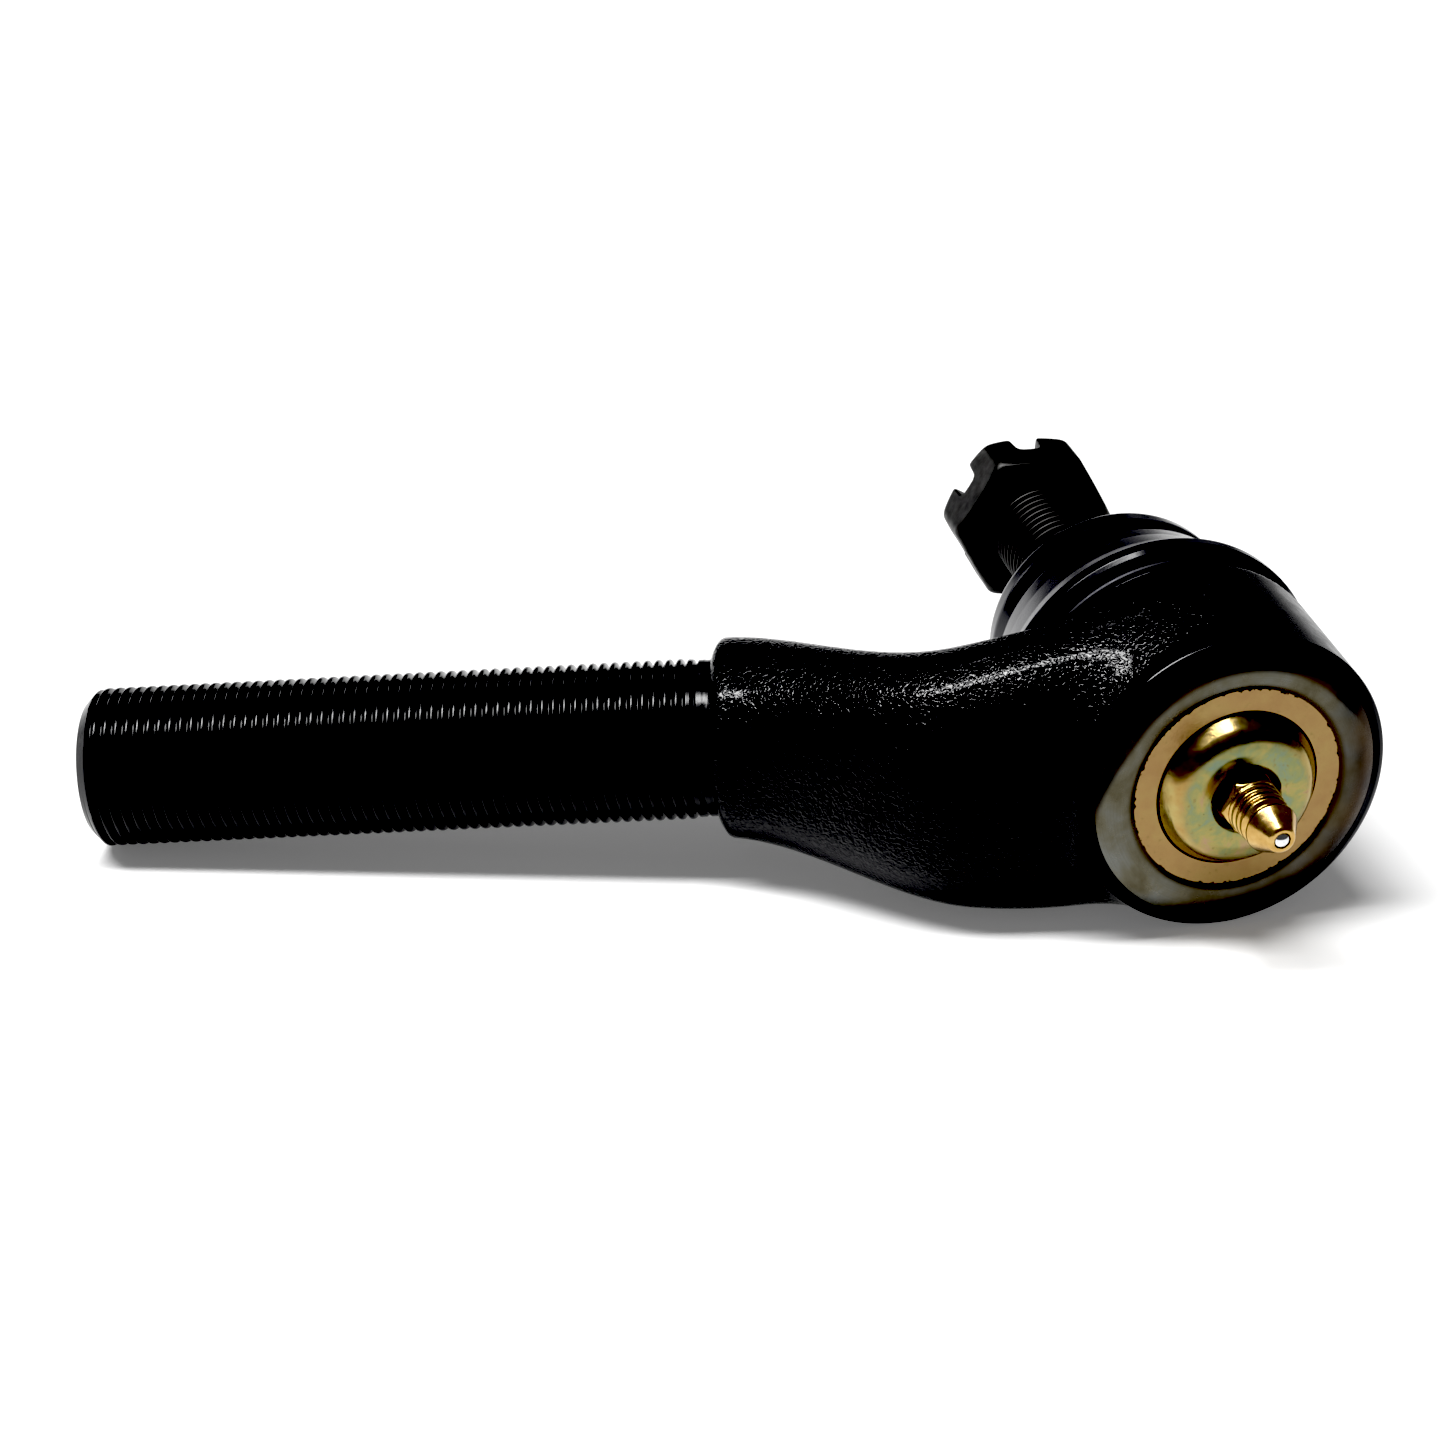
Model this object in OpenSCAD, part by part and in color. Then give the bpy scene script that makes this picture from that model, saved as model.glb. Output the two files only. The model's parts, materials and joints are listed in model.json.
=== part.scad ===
// Tie rod end: a forged housing with a threaded shank, and a tapered ball stud in a greasable socket.
// The origin is the ball centre. The shank runs along -X. The head axis lies in the XY plane and leans
// from +Y towards the shank. The part lies on its side, with +Z up.

/* [Shank] */
// Crest diameter of the shank thread
shank_d = 21.8; // [20.6:0.2:23]
// Pitch of the shank thread
shank_pitch = 1.5; // [1.25:0.25:2]
// Distance from the ball centre to the free end of the shank
shank_reach = 148; // [130:1:160]

/* [Neck] */
// Distance from the ball centre to the shoulder where the neck ends and the thread begins
neck_reach = 61.6; // [58:0.2:66]
// Height of the neck at that shoulder
neck_end_h = 25.2; // [24:0.2:28]
// Height of the neck where it enters the head
neck_root_h = 40; // [36:0.5:42]
// How far the neck swings towards the cover side
neck_offset = 13.6; // [11:0.2:15]

/* [Head] */
// Lean of the head axis from square, towards the shank, in degrees
head_lean = 20; // [14:1:26]
// Diameter of the head at the boot end
head_d = 44; // [43:0.5:46]
// Diameter of the head at the cover end
head_cover_d = 42; // [41:0.5:42.5]
// Distance from the ball centre to the face of the rolled lip
lip_reach = 20.8; // [20.6:0.1:21.2]
// Outer diameter of the rolled lip's face
lip_d = 38.8; // [38:0.2:39.6]
// Diameter of the opening inside the rolled lip
lip_opening_d = 28.2; // [27.4:0.2:28.8]

/* [Ball stud] */
// Ball diameter
ball_d = 25; // [24.6:0.2:25]
// How far the stud leans away from the head axis as stored, in degrees
stud_offset = 2.5; // [0:0.5:4]
// Largest diameter of the 1 to 8 taper
taper_d = 16.1; // [15.7:0.1:16.5]
// Crest diameter of the stud thread
stud_thread_d = 13.84; // [13.7:0.02:13.86]
// Distance from the ball centre to the end of the stud
stud_reach = 64.1; // [62:0.1:66]

/* [Castle nut] */
// Size across the flats of the nut
nut_af = 21.5; // [19:0.5:22]
// Overall height of the nut
nut_h = 9.4; // [8:0.1:11]
// Distance from the ball centre to the nut's washer face
nut_reach = 59.5; // [58:0.1:60.5]
// Width of each cotter pin slot
nut_slot_w = 4.4; // [3.5:0.1:5]
// Depth of each cotter pin slot
nut_slot_depth = 4.3; // [3:0.1:4.5]

/* [Boot] */
// Outer diameter of the boot's flange
boot_d = 45; // [44:0.5:46]
// Outer diameter of the boot's upper bulge
boot_bulge_d = 36; // [34:0.5:37]
// Rubber wall thickness
boot_wall = 1.8; // [1.5:0.1:2]

/* [Grease fitting] */
// Size across the flats of the fitting
fitting_af = 7; // [6.5:0.1:7.2]
// Diameter of the coupler head of the fitting
fitting_head_d = 6.5; // [6.3:0.1:6.6]
// Distance from the ball centre to the tip of the fitting
fitting_reach = 34.3; // [34:0.1:35]

/* [Hidden] */
$fn = 96;

// Clearance of a running fit, and of a sleeve that slides over a thread
fit_gap = 0.05;
nut_gap = 0.08;

// Stations along the head axis, counted from the ball centre towards the stud
cover_face = -(lip_reach - 0.5);   // flat outer face of the cover plate
cover_t = 2;                       // sheet thickness of the cover plate
cover_r = 16.2;
dome_h = 3.4;                      // height of the cover's dome over its flat face
dome_r = 10.5;
dome_top_r = 8;
bore_r = 15.05;
bore_top = 8.6;                    // inner shoulder that the upper bearing bears against
collar_top = 10.5;
collar_r = 17.5;
head_top = 1.8;                    // shoulder under the boot
head_chamfer_a = -(lip_reach - 1.9);
mouth_r = 11;
seal_r = 0.9;                      // radius of the seal's section

// Ball joint
ball_r = ball_d / 2;
socket_r = ball_r + fit_gap;
stud_neck_r = 6.25;
stud_lean = head_lean - stud_offset;
taper_r = taper_d / 2;
taper_start = 28;
taper_end = 44;
thread_r = stud_thread_d / 2;
thread_start = 45;
thread_pitch = 1.5;

// Pressure cup and its spring seat
cup_bottom = -15;
seat_t = 1;

// Boot stations along the head axis, and its upper bulge as part of an oval
boot_foot = head_top + 0.1;
boot_top = 32.4;
boot_lip_r = taper_r + 0.1;
flange_r = boot_d / 2;
bulge_a = 22.8;
bulge_w = 5.4;
bulge_h = 6.2;
bulge_mid_r = boot_bulge_d / 2 - bulge_w;

// Grease fitting stations, counted along the head axis
fitting_floor = cover_face - dome_h + 1.2;
fitting_hole_r = 3.2;
check_ball_r = 1.25;
check_ball_a = -(fitting_reach - 0.87);
fitting_tail = -18.6;

// ---- helpers ----

function smooth(t) = let (c = min(max(t, 0), 1)) c * c * (3 - 2 * c);
function mix(a, b, t) = a + (b - a) * t;

// Stands its children on the head axis: local +Z points from the cover towards the stud
module on_head_axis() rotate([-90, 0, head_lean]) children();

// Stands its children on the stud axis
module on_stud_axis() rotate([-90, 0, stud_lean]) children();

// Half outline of a run of V thread grooves, from the axis out to the crests and back
function thread_outline(from, to, pitch, crest_r) =
    let (
        root_r = crest_r - 0.58 * pitch,
        turns = floor((to - from) / pitch)
    )
    concat(
        [[0, from], [root_r, from]],
        [
            for (i = [0 : turns - 1])
                let (z = from + i * pitch)
                each [
                    [crest_r, z + 0.42 * pitch],
                    [crest_r, z + 0.58 * pitch],
                    [root_r, z + 0.96 * pitch],
                    [root_r, z + pitch]
                ]
        ],
        [[root_r, to], [0, to]]
    );

// Closed skin over a run of rings, each given as the same number of points
module skin(rings) {
    sides = len(rings[0]);
    last = len(rings) - 1;
    walls = [
        for (i = [0 : last - 1], k = [0 : sides - 1])
            let (n = (k + 1) % sides)
            [i * sides + k, (i + 1) * sides + k, (i + 1) * sides + n, i * sides + n]
    ];
    first_cap = [for (k = [0 : sides - 1]) k];
    last_cap = [for (k = [sides - 1 : -1 : 0]) last * sides + k];
    polyhedron([for (ring = rings) each ring], concat(walls, [first_cap, last_cap]), convexity = 10);
}

// A round wire wound on the local Z axis
module coil(wire_r, coil_r, height, turns, sides = 8, steps = 20) {
    last = turns * steps;
    skin([
        for (i = [0 : last])
            let (turn = 360 * i / steps)
            [
                for (k = [0 : sides - 1])
                    let (
                        side = 360 * k / sides,
                        r = coil_r + wire_r * cos(side)
                    )
                    [r * cos(turn), r * sin(turn), height * i / last + wire_r * sin(side)]
            ]
    ]);
}

// ---- housing ----

// Middle, half thickness and half height of the neck, at x
neck_root_x = 3;
neck_root_offset = 9;
neck_swing_len = 33;
function neck_mid(x) =
    let (peak = -neck_reach + neck_swing_len)
    x < peak
        ? -neck_offset * smooth((x + neck_reach) / neck_swing_len)
        : -mix(neck_offset, neck_root_offset, smooth((x - peak) / (neck_root_x - peak)));
function neck_half_t(x) = mix(12.4, 10.6, smooth((x + neck_reach) / 30));
function neck_half_h(x) = mix(neck_end_h / 2, neck_root_h / 2, smooth((x + neck_reach + 4.4) / 58));

// A soft-cornered rectangle across the neck, shrunk by inset
function neck_ring(x, inset, sides) = [
    for (k = [0 : sides - 1])
        let (
            turn = 360 * k / sides,
            squareness = 2 / 2.6,
            c = cos(turn),
            s = sin(turn)
        )
        [
            x,
            neck_mid(x) + (neck_half_t(x) - inset) * sign(c) * pow(abs(c), squareness),
            (neck_half_h(x) - inset) * sign(s) * pow(abs(s), squareness)
        ]
];

module neck() {
    edge = 1.2;
    spans = 12;
    body_len = neck_root_x + neck_reach - edge;
    stations = concat(
        [[-neck_reach, edge], [-neck_reach + 0.3 * edge, 0.3 * edge]],
        [for (i = [0 : spans]) [-neck_reach + edge + i * body_len / spans, 0]]
    );
    skin([for (s = stations) neck_ring(s[0], s[1], 32)]);
}

module shank() {
    chamfer = 1.7;
    run_out = 3;
    shank_r = shank_d / 2;
    thread_len = shank_reach - neck_reach - run_out;
    rotate([0, -90, 0])
        intersection() {
            union() {
                translate([0, 0, neck_reach - 6]) cylinder(r = shank_r - 0.5, h = run_out + 6.5);
                rotate_extrude()
                    polygon(thread_outline(shank_reach - thread_len, shank_reach, shank_pitch, shank_r));
            }
            rotate_extrude()
                polygon([
                    [0, neck_reach - 7],
                    [shank_r + 1, neck_reach - 7],
                    [shank_r + 1, shank_reach - chamfer - 1],
                    [shank_r - chamfer, shank_reach],
                    [0, shank_reach]
                ]);
        }
}

// Head outline turned on the head axis, solid
module head_blank() {
    lip_r = lip_d / 2;
    rotate_extrude()
        polygon([
            [0, -lip_reach],
            [lip_r, -lip_reach],
            [head_cover_d / 2 - 0.6, head_chamfer_a - 0.6],
            [head_cover_d / 2, head_chamfer_a],
            [head_d / 2, head_top - 1],
            [head_d / 2 - 1, head_top],
            [collar_r, head_top],
            [collar_r, collar_top - 0.6],
            [collar_r - 0.6, collar_top],
            [0, collar_top]
        ]);
}

// Everything that is machined out of the head, turned on the head axis
module head_bore() {
    rotate_extrude()
        polygon([
            [0, -lip_reach - 1],
            [lip_opening_d / 2, -lip_reach - 1],
            [lip_opening_d / 2, cover_face],
            [cover_r + fit_gap, cover_face],
            [cover_r + fit_gap, cover_face + cover_t + 2 * seal_r],
            [bore_r, cover_face + cover_t + 2 * seal_r],
            [bore_r, bore_top],
            [mouth_r - 0.6, bore_top],
            [mouth_r, collar_top + 1],
            [0, collar_top + 1]
        ]);
}

// Room for the boot's foot: a flat seat around the collar that flares out into the neck
module boot_seat() {
    seat_r = flange_r + 1;
    flare = 9;
    rotate_extrude()
        polygon([
            [collar_r, head_top],
            [seat_r, head_top],
            [seat_r + flare, head_top + flare],
            [seat_r + flare, head_top + 2 * flare],
            [collar_r, head_top + 2 * flare]
        ]);
}

module housing() {
    color("#17181b")
        difference() {
            union() {
                on_head_axis() head_blank();
                neck();
                shank();
            }
            on_head_axis() {
                head_bore();
                boot_seat();
            }
        }
}

// ---- socket ----

// Half of the socket that holds the ball against pulling out
module upper_bearing() {
    bottom = -0.4;
    relief_a = 7;
    relief_r = mouth_r - 1.8;
    color("#8c8f94")
        on_head_axis()
            difference() {
                translate([0, 0, bottom]) cylinder(r = bore_r - fit_gap, h = bore_top - fit_gap - bottom);
                sphere(r = socket_r);
                translate([0, 0, relief_a]) cylinder(r1 = relief_r, r2 = relief_r + 2.2, h = 2.2);
            }
}

// Sprung half of the socket, under the ball
module pressure_cup() {
    grease_hole_r = 2;
    rim = -0.9;
    color("#a0a3a8")
        on_head_axis()
            difference() {
                rotate_extrude()
                    polygon([
                        [grease_hole_r, cup_bottom],
                        [bore_r - 3, cup_bottom],
                        [bore_r - fit_gap, cup_bottom + 3],
                        [bore_r - fit_gap, rim],
                        [grease_hole_r, rim]
                    ]);
                sphere(r = socket_r);
            }
}

// Pressed washer between the pressure cup and the spring
module spring_seat() {
    hole_r = 3.4;
    seat_r = 9;
    seat_top = cup_bottom - 0.02;
    color("#9a9ca0")
        on_head_axis()
            rotate_extrude()
                polygon([
                    [hole_r, cup_bottom - seat_t],
                    [seat_r - 0.4, cup_bottom - seat_t],
                    [seat_r, cup_bottom - 0.6 * seat_t],
                    [seat_r, seat_top],
                    [hole_r, seat_top]
                ]);
}

// Short coil that loads the pressure cup from inside the cover's dome
module preload_spring() {
    wire_r = 0.9;
    bottom = cover_face - dome_h + cover_t + wire_r + 0.1;
    top = cup_bottom - seat_t - wire_r - 0.1;
    color("#6f7378")
        on_head_axis()
            translate([0, 0, bottom]) coil(wire_r, 6.4, top - bottom, 1.5);
}

// Rubber ring under the cover's edge
module cover_seal() {
    color("#202020")
        on_head_axis()
            rotate_extrude()
                translate([cover_r - seal_r - 0.05, cover_face + cover_t + seal_r])
                    circle(r = seal_r - 0.02, $fn = 32);
}

// ---- cover and grease fitting ----

// Pressed cover with a raised dome and a dimple for the fitting
module cover_plate() {
    dome_top = cover_face - dome_h;
    dimple_r = 4.5;
    color("#c8a45c")
        on_head_axis()
            rotate_extrude()
                polygon([
                    [fitting_hole_r, fitting_floor],
                    [dimple_r - 0.3, fitting_floor],
                    [dimple_r + 0.5, dome_top],
                    [dome_top_r, dome_top],
                    [dome_top_r + 0.9, dome_top + 0.5],
                    [dome_r - 0.4, cover_face - 0.9],
                    [dome_r, cover_face],
                    [cover_r, cover_face],
                    [cover_r, cover_face + cover_t],
                    [dome_r - 1.6, cover_face + cover_t],
                    [dome_top_r - 0.2, dome_top + cover_t],
                    [dimple_r + 0.4, dome_top + cover_t],
                    [dimple_r - 0.6, fitting_floor + cover_t - 0.4],
                    [fitting_hole_r, fitting_floor + cover_t - 0.4]
                ]);
}

module fitting_body() {
    head_r = fitting_head_d / 2;
    hex_top = fitting_floor - 3.2;
    head_a = -fitting_reach + 4.6;
    bore = 1.35;
    color("#b98f45")
        on_head_axis()
            difference() {
                union() {
                    rotate_extrude()
                        polygon([
                            [0, fitting_tail],
                            [2.7, fitting_tail],
                            [fitting_hole_r - 0.02, fitting_tail - 0.5],
                            [fitting_hole_r - 0.02, fitting_floor],
                            [2.9, fitting_floor],
                            [2.9, hex_top - 0.4],
                            [2.45, hex_top - 0.8],
                            [2.9, hex_top - 1.2],
                            [2.35, hex_top - 1.9],
                            [2.35, head_a + 0.7],
                            [head_r, head_a],
                            [head_r, head_a - 1],
                            [1.75, -fitting_reach + 0.2],
                            [1.5, -fitting_reach],
                            [0, -fitting_reach]
                        ]);
                    intersection() {
                        translate([0, 0, hex_top])
                            cylinder(r = fitting_af / sqrt(3), h = fitting_floor - hex_top, $fn = 6);
                        translate([0, 0, hex_top])
                            cylinder(r1 = fitting_af / 2 + 0.05, r2 = fitting_af / 2 + 3.2, h = 3.2);
                    }
                }
                translate([0, 0, check_ball_a]) cylinder(r = bore, h = 5.5);
                translate([0, 0, check_ball_a + 5.4]) cylinder(r = 0.9, h = 20);
                translate([0, 0, -fitting_reach - 1]) cylinder(r = 1.0, h = 2);
                translate([0, 0, check_ball_a]) sphere(r = check_ball_r + 0.04);
            }
}

// Steel ball that closes the tip of the fitting
module fitting_ball() {
    color("#c9ccd0")
        on_head_axis() translate([0, 0, check_ball_a]) sphere(r = check_ball_r);
}

module fitting_spring() {
    wire_r = 0.16;
    start = check_ball_a + 0.85 + wire_r;
    color("#8e9196")
        on_head_axis()
            translate([0, 0, start])
                coil(wire_r, 0.95, 5.4 - 0.85 - 2.4 * wire_r, 4, 6, 12);
}

// ---- stud, boot and nut ----

module ball_stud() {
    cone_r = taper_r - (taper_end - taper_start) / 16;
    thread_len = stud_reach - thread_start;
    color("#2a2b2e")
        on_stud_axis() {
            difference() {
                union() {
                    sphere(r = ball_r);
                    rotate_extrude()
                        polygon([
                            [0, 0],
                            [stud_neck_r, 0],
                            [stud_neck_r, 14],
                            [stud_neck_r + 0.5, 17],
                            [taper_r - 0.4, 22],
                            [taper_r, 24],
                            [taper_r, taper_start],
                            [cone_r, taper_end],
                            [thread_r - 0.9, taper_end + 0.6],
                            [thread_r - 0.9, thread_start + 0.2],
                            [0, thread_start + 0.2]
                        ]);
                    intersection() {
                        rotate_extrude()
                            polygon(thread_outline(thread_start, stud_reach, thread_pitch, thread_r));
                        translate([0, 0, thread_start])
                            cylinder(r1 = thread_r + thread_len - 1, r2 = thread_r - 1, h = thread_len);
                    }
                }
                translate([0, 0, -ball_r - 1]) cylinder(r = 5, h = 1.6);
            }
        }
}

// Rubber wall as one closed outline: outside from the foot to the top lip, then back down inside
function boot_outline() = concat(
    [
        [collar_r + 0.1, boot_foot],
        [flange_r - 1.3, boot_foot],
        [flange_r - 1.3, boot_foot + 0.7],
        [flange_r - 2.6, boot_foot + 1.1],
        [flange_r - 2.6, boot_foot + 2.7],
        [flange_r - 0.5, boot_foot + 3.2],
        [flange_r, boot_foot + 4.2],
        [flange_r, boot_foot + 5.6],
        [flange_r - 0.7, boot_foot + 6.3],
        [flange_r - 2.0, boot_foot + 9],
        [flange_r - 3.1, boot_foot + 12],
        [flange_r - 4.1, boot_foot + 14.7]
    ],
    [for (t = [-30 : 20 : 70]) [bulge_mid_r + bulge_w * cos(t), bulge_a + bulge_h * sin(t)]],
    [
        [11.8, 29.9],
        [10.6, 29.7],
        [10.1, 30.1],
        [10.1, 31.1],
        [11, 31.6],
        [11, boot_top],
        [boot_lip_r, boot_top],
        [boot_lip_r, 28.6],
        [boot_lip_r + 1.8, 27.4]
    ],
    [
        for (t = [60 : -20 : -20])
            [bulge_mid_r + (bulge_w - boot_wall) * cos(t), bulge_a + (bulge_h - boot_wall) * sin(t)]
    ],
    [
        [flange_r - 4.1 - boot_wall, boot_foot + 14.2],
        [flange_r - 3.1 - boot_wall, boot_foot + 11.2],
        [flange_r - 2.6 - boot_wall, boot_foot + 9.2],
        [collar_r - 0.6, boot_foot + 9],
        [collar_r + 0.1, boot_foot + 8]
    ]
);

// The foot stays on the head axis and the top lip follows the stud axis
module boot() {
    sides = 48;
    outline = boot_outline();
    count = len(outline);
    points = [
        for (k = [0 : sides - 1], p = outline)
            let (
                turn = 360 * k / sides,
                x = p[0] * cos(turn),
                bend = stud_offset * smooth((p[1] - 9) / 21)
            )
            [x * cos(bend) + p[1] * sin(bend), p[0] * sin(turn), p[1] * cos(bend) - x * sin(bend)]
    ];
    faces = [
        for (k = [0 : sides - 1], i = [0 : count - 1])
            let (
                k2 = (k + 1) % sides,
                i2 = (i + 1) % count
            )
            each [
                [k * count + i, k * count + i2, k2 * count + i2],
                [k * count + i, k2 * count + i2, k2 * count + i]
            ]
    ];
    color("#0f0f10")
        on_head_axis() polyhedron(points, faces, convexity = 8);
}

// Wire ring that clamps the boot's foot
module boot_base_ring() {
    wire_r = 0.7;
    color("#3a3b3d")
        on_head_axis()
            rotate_extrude()
                translate([flange_r - 2.6 + wire_r + 0.05, boot_foot + 1.9])
                    circle(r = wire_r, $fn = 32);
}

// Wire ring that closes the boot's top lip on the stud
module boot_top_ring() {
    wire_r = 0.4;
    color("#3a3b3d")
        on_stud_axis()
            rotate_extrude()
                translate([10.1 + wire_r + 0.12, 30.6])
                    circle(r = wire_r, $fn = 32);
}

module castle_nut() {
    corner_r = nut_af / sqrt(3);
    round_r = corner_r - 0.35;
    slots = 3;
    color("#1c1d20")
        on_stud_axis()
            translate([0, 0, nut_reach])
                difference() {
                    intersection() {
                        rotate([0, 0, 7]) cylinder(r = corner_r, h = nut_h, $fn = 6);
                        rotate_extrude()
                            polygon([
                                [0, 0],
                                [nut_af / 2 - 0.1, 0],
                                [round_r, 1],
                                [round_r, nut_h - 1.3],
                                [nut_af / 2 - 0.3, nut_h],
                                [0, nut_h]
                            ]);
                    }
                    translate([0, 0, -1]) cylinder(r = thread_r + nut_gap, h = nut_h + 2);
                    translate([0, 0, -0.01]) cylinder(r1 = thread_r + 0.8, r2 = thread_r, h = 0.8);
                    for (i = [0 : slots - 1])
                        rotate([0, 0, 37 + 60 * i])
                            translate([-nut_af, -nut_slot_w / 2, nut_h - nut_slot_depth])
                                cube([2 * nut_af, nut_slot_w, nut_slot_depth + 1]);
                }
}

housing();
upper_bearing();
pressure_cup();
spring_seat();
preload_spring();
cover_seal();
cover_plate();
fitting_body();
fitting_ball();
fitting_spring();
ball_stud();
boot();
boot_base_ring();
boot_top_ring();
castle_nut();
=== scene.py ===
import json
import math

import bmesh
import bpy
import numpy as np
from mathutils import Matrix, Vector


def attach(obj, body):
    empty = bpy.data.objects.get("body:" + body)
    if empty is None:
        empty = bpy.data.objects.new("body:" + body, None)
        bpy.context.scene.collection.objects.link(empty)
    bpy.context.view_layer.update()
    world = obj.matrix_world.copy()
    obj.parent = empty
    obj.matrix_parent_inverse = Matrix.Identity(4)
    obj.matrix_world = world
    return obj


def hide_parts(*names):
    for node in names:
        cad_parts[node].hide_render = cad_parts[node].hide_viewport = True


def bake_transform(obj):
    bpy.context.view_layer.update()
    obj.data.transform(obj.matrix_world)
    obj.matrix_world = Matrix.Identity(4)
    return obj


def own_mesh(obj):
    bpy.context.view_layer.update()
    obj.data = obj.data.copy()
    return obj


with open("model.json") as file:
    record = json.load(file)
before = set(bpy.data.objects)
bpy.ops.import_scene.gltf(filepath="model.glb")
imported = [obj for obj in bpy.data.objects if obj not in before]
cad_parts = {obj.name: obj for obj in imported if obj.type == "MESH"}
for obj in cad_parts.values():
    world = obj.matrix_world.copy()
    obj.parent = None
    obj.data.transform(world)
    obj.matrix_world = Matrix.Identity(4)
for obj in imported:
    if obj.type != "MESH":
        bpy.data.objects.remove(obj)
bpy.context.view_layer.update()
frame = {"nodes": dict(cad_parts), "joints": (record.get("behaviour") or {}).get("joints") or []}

# Lengths in this script are in millimetres, and every mesh is scaled to metres as it is made.
MM = 0.001


# ---- the frame: axes and stations ----


def joint_axis(name):
    """Unit axis of a joint of the record."""
    axis = next(j["axis"] for j in frame["joints"] if j["name"] == name)
    return np.array(axis) / np.linalg.norm(axis)


def basis(axis):
    """Local X, Y and Z of a turned part, as rows: Z is its axis, and X lies level with it."""
    x = np.cross(axis, [0.0, 0.0, 1.0])
    x /= np.linalg.norm(x)
    return np.array([x, np.cross(axis, x), axis])


def stations(node, axis):
    """Lowest and highest place of a CAD node along an axis through the ball centre."""
    mesh = frame["nodes"][node].data
    co = np.empty(len(mesh.vertices) * 3)
    mesh.vertices.foreach_get("co", co)
    along = co.reshape(-1, 3) @ axis / MM
    return along.min(), along.max()


HEAD = basis(joint_axis("seat_turn"))
STUD = basis(joint_axis("stud_spin"))
SHANK = basis(np.array([-1.0, 0.0, 0.0]))

# Stations of CAD nodes along those axes, in millimetres from the ball centre
lip_a = stations("housing", HEAD[2])[0]
cover_a, cover_back_a = stations("cover_plate", HEAD[2])
tip_a, tail_a = stations("fitting_body", HEAD[2])
foot_a, boot_top_a = stations("boot", HEAD[2])
stud_end_a = stations("ball_stud", STUD[2])[1]
nut_a, nut_top_a = stations("castle_nut", STUD[2])
shank_end = stations("housing", SHANK[2])[1]


# ---- meshes ----


# Angle between the points of a fillet's arc
ARC_STEP = 0.16


def corners(points):
    """An outline of (radius, station, fillet) corners as a run of points, each fillet drawn as an arc."""
    pts = [np.array(p[:2], float) for p in points]
    out = []
    for i, p in enumerate(points):
        fillet = p[2] if len(p) > 2 else 0
        if not fillet:
            out.append(pts[i])
            continue
        before, here, after = pts[i - 1], pts[i], pts[(i + 1) % len(pts)]
        u = (before - here) / np.linalg.norm(before - here)
        v = (after - here) / np.linalg.norm(after - here)
        half = 0.5 * math.acos(max(-1, min(1, u @ v)))
        room = 0.49 * min(np.linalg.norm(before - here), np.linalg.norm(after - here))
        reach = min(fillet / math.tan(half), room)
        middle = (u + v) / np.linalg.norm(u + v) * reach / math.cos(half)
        first, last = u * reach - middle, v * reach - middle
        turn = math.atan2(first[0] * last[1] - first[1] * last[0], first @ last)
        steps = max(2, int(abs(turn) / ARC_STEP))
        for s in range(steps + 1):
            c, n = math.cos(turn * s / steps), math.sin(turn * s / steps)
            out.append(here + middle + [c * first[0] - n * first[1], n * first[0] + c * first[1]])
    return np.array(out)


def guard(outline, near=0.1, long=0.7):
    """Adds a point close to each end of every long side, which keeps flats flat under smooth shading."""
    out = []
    for here, after in zip(outline, np.roll(outline, -1, 0)):
        out.append(here)
        length = np.linalg.norm(after - here)
        if length > long:
            out += [here + (after - here) * near / length, after + (here - after) * near / length]
    return np.array(out)


def lathe(outline, frame_rows, turns=224):
    """Vertices and faces of a closed outline turned on an axis, in turns steps."""
    outline = guard(outline)
    n = len(outline)
    angle = np.arange(turns) * 2 * math.pi / turns
    r, a = outline[:, 0], outline[:, 1]
    local = [np.outer(np.cos(angle), r), np.outer(np.sin(angle), r), np.tile(a, (turns, 1))]
    local = np.stack(local, -1)
    k, i = np.meshgrid(np.arange(turns), np.arange(n), indexing="ij")
    k2, i2 = (k + 1) % turns, (i + 1) % n
    faces = np.stack([k * n + i, k2 * n + i, k2 * n + i2, k * n + i2], -1).reshape(-1, 4)
    return local.reshape(-1, 3) @ frame_rows, faces


# Pitch and depth of both threads, shank and stud
PITCH = 1.5
THREAD_DEPTH = 0.85
# One V of the thread's profile, as (share of the pitch, share of the depth)
THREAD_PROFILE = np.array([
    [0, 0], [0.06, 0.06], [0.16, 0.4], [0.25, 0.74], [0.34, 0.93], [0.45, 1],
    [0.55, 1], [0.66, 0.93], [0.75, 0.74], [0.84, 0.4], [0.94, 0.06],
])


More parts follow.
